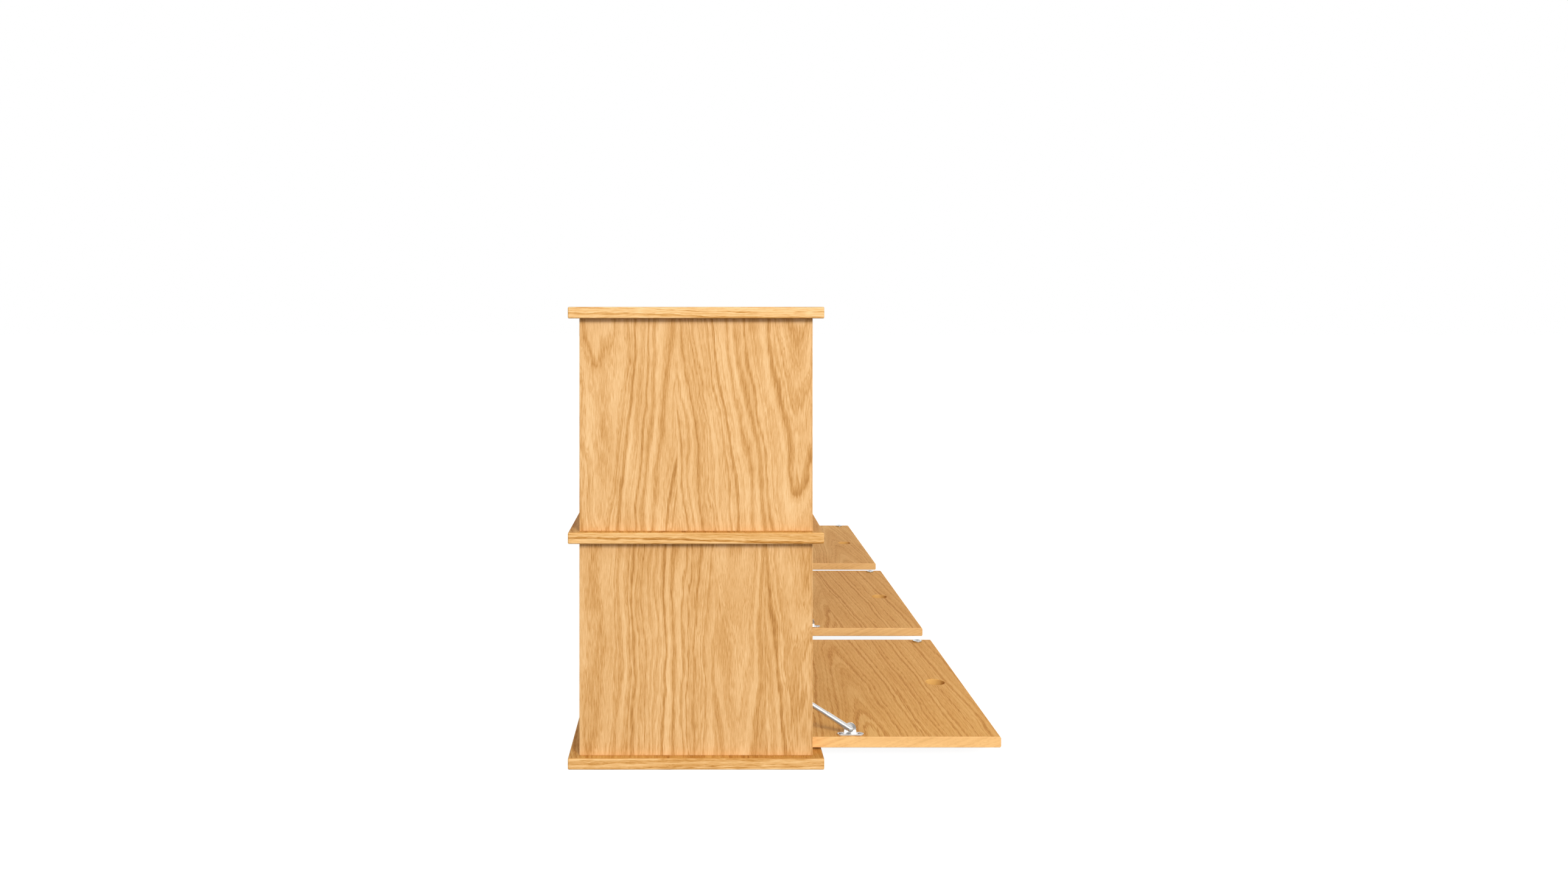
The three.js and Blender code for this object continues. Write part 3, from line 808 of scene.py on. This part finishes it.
def make_door_bracket(label):
    """A dished plate, an upright ear with a rolled edge, and the stay's pin, whose head is made apart."""
    plate = (
        dished_plate(),
        Matrix.Translation((EAR_X[1] - PLATE_WIDTH / 2, -PIN_OUT, DOOR_HALF)) @ turned_to("Z"),
    )
    near, far = EAR_X
    sections = ((0.45, near), (0.13, near + 0.13), (0.0, near + 0.45), (0.0, far - 0.45),
                (0.13, far - 0.13), (0.45, far))
    ear = loft([[(x, y, z) for y, z in ear_outline(inset)] for inset, x in sections])
    pin = turned(((PIN_RADIUS, PIN_HEAD_X - 0.3), (PIN_RADIUS, far + 0.5), (PIN_RADIUS - 0.4, far + 0.9)), 32)
    collar = turned(((4.4, near - 0.1), (4.4, far + 0.3), (4.0, far + 0.6), (2.6, far + 0.6)), 32)
    on_axis = Matrix.Translation((0, -PIN_OUT, PIN_UP)) @ turned_to("Y")
    made = as_object(
        f"door_bracket_{label}_finish",
        joined(plate, (ear, Matrix()), (pin, on_axis), (collar, on_axis)),
    )
    smooth(made, 40)
    place(
        made, door_frame(label), (satin_nickel,), "door_" + label, "satin_metal", "door_bracket_" + label
    )


# ---- Stays ----


def stay_frame(label, start):
    """A stay's own drawing runs along +Y from the start given, in metres."""
    way = Vector(JOINTS[f"stay_{label}_stroke"]["axis"])
    if way.y < 0:
        way.negate()
    return Matrix.Translation(start) @ Matrix.Rotation(math.atan2(way.z, way.y), 4, "X")


def make_cylinder(label):
    """A thick sleeve with a domed end, a fine groove, then the slimmer tube with its black seal."""
    move = stay_frame(label, Vector(JOINTS[f"stay_{label}_swing"]["pos_m"]))
    dome = [math.radians(15 * at) for at in range(1, 7)]
    profile = [(SLEEVE_RADIUS * math.sin(a), -SLEEVE_RADIUS * math.cos(a)) for a in dome]
    end, tube, inner = SLEEVE_LENGTH, TUBE_RADIUS, TUBE_BORE_RADIUS
    profile += [
        (SLEEVE_RADIUS, end - 0.4), (SLEEVE_RADIUS - 0.15, end - 0.1), (SLEEVE_RADIUS - 0.35, end),
        (tube - 0.15, end), (tube - 0.15, end + 0.5), (tube, end + 0.7),
        (tube, TUBE_END - 7.0), (tube - 0.35, TUBE_END - 6.6), (tube - 0.35, TUBE_END - 5.8),
        (tube, TUBE_END - 5.4), (tube, TUBE_END - 0.9), (tube - 0.25, TUBE_END - 0.3),
        (tube - 0.8, TUBE_END), (inner + 0.3, TUBE_END), (inner, TUBE_END - 0.3), (inner, TUBE_BORE_START),
        (0.4, TUBE_BORE_START),
    ]
    made = as_object(f"stay_cylinder_{label}_finish", joined((turned(profile, 40), turned_to("X", -90))))
    cut(made, [joined((bore(PIN_RADIUS + PIN_PLAY, 7, 32), turned_to("Y")))])
    smooth(made, 40)
    seal_start, seal_end = (TUBE_END - distance for distance in SEAL_FROM_TUBE_END)
    for face in made.data.polygons:
        out = math.hypot(face.center.x, face.center.z)
        if seal_start < face.center.y < seal_end and out < TUBE_RADIUS - 0.1:
            face.material_index = 1
    place(made, move, (satin_nickel, seal_rubber), "stay_cylinder_" + label, "satin_metal",
          "stay_cylinder_" + label)


def make_piston(label):
    """The bright rod, its eye, and the headed pin through the eye."""
    low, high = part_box("wall_bracket_" + label)
    wall = (low + high) / 2
    centre = JOINTS[f"stay_{label}_swing"]["pos_m"][0]
    move = stay_frame(label, (centre, wall.y, wall.z))
    rod = turned((
        (1.2, -PISTON_LENGTH), (PISTON_RADIUS - 0.2, -PISTON_LENGTH + 0.1),
        (PISTON_RADIUS, -PISTON_LENGTH + 0.5), (PISTON_RADIUS, -2.4), (PISTON_RADIUS, -2.3),
    ), 28)
    edge, head = EYE_HALF - 0.5, WALL_PIN_HEAD_RADIUS
    eye = turned((
        (EYE_RADIUS - 1.4, -EYE_HALF), (EYE_RADIUS - 0.5, -EYE_HALF), (EYE_RADIUS - 0.14, -EYE_HALF + 0.14),
        (EYE_RADIUS, -edge), (EYE_RADIUS, edge), (EYE_RADIUS - 0.14, EYE_HALF - 0.14),
        (EYE_RADIUS - 0.5, EYE_HALF), (EYE_RADIUS - 1.4, EYE_HALF),
    ), 36)
    pin = turned((
        (1.4, -EYE_HALF - 0.3), (WALL_PIN_RADIUS, -EYE_HALF - 0.1), (WALL_PIN_RADIUS, EYE_HALF - 0.1),
        (head, EYE_HALF - 0.1), (head, EYE_HALF + 0.6), (3.0, EYE_HALF + 0.95), (2.2, EYE_HALF + 1.15),
        (1.0, EYE_HALF + 1.2),
    ), 32)
    made = as_object(
        f"stay_piston_{label}_finish",
        joined((rod, turned_to("X", -90)), (eye, turned_to("Y")), (pin, turned_to("Y"))),
    )
    smooth(made, 40)
    place(made, move, (bright_nickel,), "stay_piston_" + label, "bright_steel", "stay_piston_" + label)


def make_wall_bracket(label):
    """A dished plate on the bay's wall, and the boss that carries the stay's pin."""
    low, high = corners("wall_bracket_" + label)
    wall = Vector((low.x, (low.y + high.y) / 2, (low.z + high.z) / 2))
    upright = high.z - low.z > high.y - low.y
    lie = turned_to("Y") @ turned_to("Z", 0 if upright else 90)
    side, top = BOSS_RADIUS, BOSS_REACH
    boss = turned((
        (side + 0.8, 1.2), (side + 0.3, PLATE_THICKNESS - 0.2), (side, PLATE_THICKNESS + 0.3),
        (side, top - 0.5), (side - 0.14, top - 0.14), (side - 0.5, top),
        (2.4, top), (2.2, top - 0.3), (1.0, top - 0.3),
    ), 36)
    made = as_object(
        f"wall_bracket_{label}_finish", joined((dished_plate(), lie), (boss, turned_to("Y")))
    )
    smooth(made, 40)
    move = Matrix.Translation(wall * MM)
    place(made, move, (satin_nickel,), "carcass", "satin_metal", "wall_bracket_" + label)


def made_of(drawn, number):
    """Gives all of a drawing's faces one material number."""
    for face in drawn.faces:
        face.material_index = number
    return drawn


def make_magnet(label):
    """A white housing, a black magnet in its front, and a steel pole on each side of the magnet."""
    low, high = corners("catch_magnet_" + label)
    strike, back = high.x - STRIKE_FROM_END - DOOR_END_GAP, low.y + MAGNET_DEPTH
    parts = [(blank((low.x, low.y + 0.5, low.z), high, 1.1, 3), Matrix())]
    for offset in (-POLE_OFFSET, POLE_OFFSET):
        near = (strike + offset - POLE_HALF, low.y, low.z + POLE_MARGIN)
        pole = blank(near, (strike + offset + POLE_HALF, back, high.z - POLE_MARGIN), 0.3, 2)
        parts.append((made_of(pole, 1), Matrix()))
    near = (strike - MAGNET_HALF, low.y + 0.35, low.z + MAGNET_MARGIN)
    magnet = blank(near, (strike + MAGNET_HALF, back, high.z - MAGNET_MARGIN), 0.3, 2)
    parts.append((made_of(magnet, 2), Matrix()))
    made = as_object(f"catch_magnet_{label}_finish", joined(*parts))
    smooth(made, 40)
    place(made, Matrix(), (white_abs, bright_nickel, seal_rubber), "carcass", "white_plastic",
          "catch_magnet_" + label)


# ---- Screws ----


def screw_tree():
    """Cross-headed screws: one on each point, facing the way that the point says, each turned by chance."""
    tree = bpy.data.node_groups.new("cross_headed_screws", "GeometryNodeTree")
    face = tree.interface
    face.new_socket("Points", in_out="INPUT", socket_type="NodeSocketGeometry")
    for name, value in (("Head radius", SCREW_HEAD_RADIUS), ("Head height", 1.3), ("Dome", 0.5),
                        ("Slot length", 3.6), ("Slot width", 0.8), ("Slot depth", 0.9)):
        face.new_socket(name, in_out="INPUT", socket_type="NodeSocketFloat").default_value = value * MM
    face.new_socket("Seed", in_out="INPUT", socket_type="NodeSocketInt").default_value = 5
    face.new_socket("Plating", in_out="INPUT", socket_type="NodeSocketMaterial")
    face.new_socket("Screws", in_out="OUTPUT", socket_type="NodeSocketGeometry")
    given = node(tree, "NodeGroupInput").node.outputs

    radius, height = given["Head radius"], given["Head height"]
    disc = node(
        tree, "GeometryNodeMeshCylinder",
        {"Vertices": 28, "Side Segments": 1, "Fill Segments": 5, "Radius": radius, "Depth": height},
    )
    spot = node(tree, "GeometryNodeInputPosition")
    flat = node(tree, "ShaderNodeVectorMath", {0: spot, 1: (1, 1, 0)}, operation="MULTIPLY")
    out = node(tree, "ShaderNodeVectorMath", {0: flat}, output=1, operation="LENGTH")
    share = node(tree, "ShaderNodeMath", {0: out, 1: radius}, operation="DIVIDE")
    fall = node(tree, "ShaderNodeMath", {0: share, 1: 3.0}, operation="POWER")
    fall = node(tree, "ShaderNodeMath", {0: fall, 1: given["Dome"]}, operation="MULTIPLY")
    fall = node(tree, "ShaderNodeMath", {0: fall, 1: -1.0}, operation="MULTIPLY")
    drop = node(tree, "ShaderNodeCombineXYZ", {2: fall})
    level = node(tree, "ShaderNodeSeparateXYZ", {0: spot}).node.outputs[2]
    upper = node(tree, "FunctionNodeCompare", {0: level, 1: 0.0}, operation="GREATER_THAN", data_type="FLOAT")
    domed = node(tree, "GeometryNodeSetPosition", {"Geometry": disc, "Selection": upper, "Offset": drop})
    deep = node(tree, "ShaderNodeMath", {0: given["Slot depth"], 1: 2.0}, operation="MULTIPLY")
    half = node(tree, "ShaderNodeMath", {0: height, 1: 0.5}, operation="MULTIPLY")
    lift = node(tree, "ShaderNodeCombineXYZ", {2: half})
    head = domed
    for sides in ((given["Slot length"], given["Slot width"]), (given["Slot width"], given["Slot length"])):
        size = node(tree, "ShaderNodeCombineXYZ", {0: sides[0], 1: sides[1], 2: deep})
        slot = node(tree, "GeometryNodeMeshCube", {"Size": size})
        slot = node(tree, "GeometryNodeTransform", {"Geometry": slot, "Translation": lift})
        head = node(
            tree, "GeometryNodeMeshBoolean", {0: head, 1: slot}, operation="DIFFERENCE", solver="EXACT"
        )
    head = node(tree, "GeometryNodeTransform", {"Geometry": head, "Translation": lift})

    facing = node(tree, "GeometryNodeInputNamedAttribute", {"Name": "facing"}, data_type="FLOAT_VECTOR")
    scale = node(tree, "GeometryNodeInputNamedAttribute", {"Name": "scale"}, data_type="FLOAT")
    aligned = node(tree, "FunctionNodeAlignRotationToVector", {"Vector": facing}, axis="Z")
    chance = node(
        tree, "FunctionNodeRandomValue", {2: 0.0, 3: math.pi, "Seed": given["Seed"]}, output=1,
        data_type="FLOAT",
    )
    spin = node(tree, "FunctionNodeAxisAngleToRotation", {"Axis": (0, 0, 1), "Angle": chance})
    turn = node(
        tree, "FunctionNodeRotateRotation", {0: aligned, 1: spin}, rotation_space="LOCAL"
    )
    screws = node(
        tree, "GeometryNodeInstanceOnPoints",
        {"Points": given["Points"], "Instance": head, "Rotation": turn, "Scale": scale},
    )
    screws = node(tree, "GeometryNodeRealizeInstances", {"Geometry": screws})
    screws = node(tree, "GeometryNodeSetMaterial", {"Geometry": screws, "Material": given["Plating"]})
    node(tree, "NodeGroupOutput", {0: screws})
    return tree


SCREWS = screw_tree()


def make_screws(name, spots, body, plating=bright_nickel):
    """Screws at spots in metres. Each spot says where, which way it faces, and how large it is."""
    mesh = bpy.data.meshes.new(name)
    mesh.from_pydata([spot for spot, facing, size in spots], [], [])
    mesh.attributes.new("facing", "FLOAT_VECTOR", "POINT")
    mesh.attributes.new("scale", "FLOAT", "POINT")
    for at, (spot, way, size) in enumerate(spots):
        mesh.attributes["facing"].data[at].vector = way
        mesh.attributes["scale"].data[at].value = size
    made = bpy.data.objects.new(name, mesh)
    bpy.context.scene.collection.objects.link(made)
    modifier = made.modifiers.new("screws", "NODES")
    modifier.node_group = SCREWS
    sockets = {item.name: item.identifier for item in SCREWS.interface.items_tree if item.in_out == "INPUT"}
    modifier[sockets["Seed"]] = sum(map(ord, name)) % 97
    modifier[sockets["Plating"]] = plating
    settle(made)
    for attribute in ("facing", "scale"):
        if attribute in made.data.attributes:
            made.data.attributes.remove(made.data.attributes[attribute])
    smooth(made, 35)
    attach(made, body)


def door_screws(label):
    """The screws of a door's bracket and strike, and the cross-slotted head of its stay's pin."""
    move = door_frame(label)
    width, height = door_size(label)
    plate_x = EAR_X[1] - PLATE_WIDTH / 2
    seat = DOOR_HALF + PLATE_THICKNESS - PLATE_DISH
    drawn = [((plate_x, -PIN_OUT + way * SCREW_SPACING / 2, seat), (0, 0, 1), 1.0) for way in (-1, 1)]
    sunk = DOOR_HALF + STRIKE_THICKNESS - STRIKE_SINK
    strike = (width - STRIKE_FROM_END, STRIKE_FROM_TIP - (height - DOOR_HALF), sunk)
    drawn.append((strike, (0, 0, 1), STRIKE_SCREW_SIZE))
    drawn.append(((PIN_HEAD_X, -PIN_OUT, PIN_UP), (-1, 0, 0), PIN_HEAD_RADIUS / SCREW_HEAD_RADIUS))
    turn = move.to_3x3()
    spots = [(move @ (Vector(spot) * MM), turn @ Vector(way), size) for spot, way, size in drawn]
    make_screws(f"door_{label}_screws", spots[:-1], "door_" + label)
    make_screws(f"stay_pin_head_{label}", spots[-1:], "door_" + label, satin_nickel)


def carcass_screws():
    """The screws of the wall brackets and of the magnets, all as one piece."""
    spots = []
    for label in LABELS:
        low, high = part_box("wall_bracket_" + label)
        seat = low.x + (PLATE_THICKNESS - PLATE_DISH) * MM
        wall = Vector((seat, (low.y + high.y) / 2, (low.z + high.z) / 2))
        along = Vector((0, 0, 1)) if high.z - low.z > high.y - low.y else Vector((0, 1, 0))
        spots += [(wall + along * way * SCREW_SPACING / 2 * MM, (1, 0, 0), 1.0) for way in (-1, 1)]
        low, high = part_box("catch_magnet_" + label)
        end = Vector((low.x, (low.y + high.y) / 2, (low.z + high.z) / 2))
        for way in (-1, 1):
            spot = end + Vector((0, 0, way * MAGNET_SCREW_SPACING / 2 * MM))
            spots.append((spot, (-1, 0, 0), MAGNET_SCREW_SIZE))
    make_screws("carcass_screws", spots, "carcass")


# ---- Studio ----


def set_camera():
    """Level with the cabinet's top, looking along it from beyond its left end."""
    low, high = cad_box
    data = bpy.data.cameras.new("camera")
    data.sensor_width, data.lens = 36, 27.25
    data.shift_x, data.shift_y = 0.0590, -0.0844
    camera = bpy.data.objects.new("camera", data)
    camera.location = (low.x - 1.950, 0.0075, high.z - 0.0029)
    camera.rotation_euler = (math.pi / 2, 0, -math.pi / 2)
    bpy.context.scene.collection.objects.link(camera)
    bpy.context.scene.camera = camera


def set_studio():
    """A white room: soft light from all round, one large soft lamp, and a pale floor."""
    scene = bpy.context.scene
    scene.view_settings.view_transform = "Standard"
    world = bpy.data.worlds.new("white_room")
    world.use_nodes = True
    room = world.node_tree
    way = node(room, "ShaderNodeTexCoord", output=0)
    height = node(room, "ShaderNodeSeparateXYZ", {0: way}, output=2)
    levels = [(0.05, 0.62), (0.25, 1.05), (0.5, 1.0), (0.85, 0.42)]
    stops = [(at, (level, level, level, 1)) for at, level in levels]
    lit = node(room, "ShaderNodeValToRGB", {0: height}, stops=stops)
    seen = node(room, "ShaderNodeLightPath")
    shown = node(
        room, "ShaderNodeMix", {0: seen, 6: lit, 7: (1, 1, 1, 1)}, output=2, data_type="RGBA"
    )
    room.links.new(shown, room.nodes["Background"].inputs["Color"])
    scene.world = world

    lamp = bpy.data.lights.new("soft_lamp", "AREA")
    lamp.shape, lamp.size, lamp.energy = "DISK", 3.0, 500
    held = bpy.data.objects.new("soft_lamp", lamp)
    held.location = (-8.0, -2.6, 4.9)
    held.rotation_euler = (Vector((-0.9, 0, 0.4)) - held.location).to_track_quat("-Z", "Y").to_euler()
    scene.collection.objects.link(held)

    drawn = bmesh.new()
    bmesh.ops.create_grid(drawn, x_segments=1, y_segments=1, size=30)
    floor = as_object("floor", drawn)
    floor.data.transform(Matrix.Translation((0, 0, -0.0002)))
    material, tree, shader = start_material("white_studio_floor")
    spot = node(tree, "ShaderNodeTexCoord", output=3)
    spot = node(tree, "ShaderNodeMapping", {"Vector": spot})
    cloud = node(tree, "ShaderNodeTexNoise", {"Vector": spot, "Scale": 0.8})
    stops = [(0.3, tint("828282")), (0.7, tint("858585"))]
    colour = node(tree, "ShaderNodeValToRGB", {0: cloud}, stops=stops)
    finish_shader(tree, shader, {"Base Color": colour}, Roughness=0.8)
    shader.inputs["Emission Color"].default_value = (1, 1, 1, 1)
    seen = node(tree, "ShaderNodeLightPath")
    glow = node(tree, "ShaderNodeMath", {0: seen, 1: 0.94}, operation="MULTIPLY")
    tree.links.new(glow, shader.inputs["Emission Strength"])
    floor.data.materials.append(material)


# ---- Making it ----

BOARD_SEED, LEFT_SEED, RIGHT_SEED, BACK_SEED, PARTITION_SEED, DOOR_SEED = 10, 20, 30, 40, 50, 60

set_camera()
set_studio()

for order, name in enumerate(("base_board", "middle_board", "top_board")):
    make_board(name, BOARD_SEED + order)
for order, tier in enumerate(TIERS):
    make_end_panel("end_panel_left_" + tier, LEFT_LEAVES[tier], LEFT_SEED + order)
    make_end_panel("end_panel_right_" + tier, None, RIGHT_SEED + order)
    make_back_panel("back_panel_" + tier, BACK_SEED + order)
    for gap in (1, 2):
        make_partition(f"partition_{tier}_{gap}", PARTITION_SEED + 2 * order + gap)
    rod = frame["nodes"]["pivot_rod_" + tier]
    for slot in rod.material_slots:
        slot.material = bright_nickel
for order, label in enumerate(LABELS):
    make_door(label, DOOR_LEAVES.get(label), DOOR_SEED + order)
    make_strike(label)
    make_door_bracket(label)
    make_cylinder(label)
    make_piston(label)
    make_wall_bracket(label)
    make_magnet(label)
    door_screws(label)
carcass_screws()
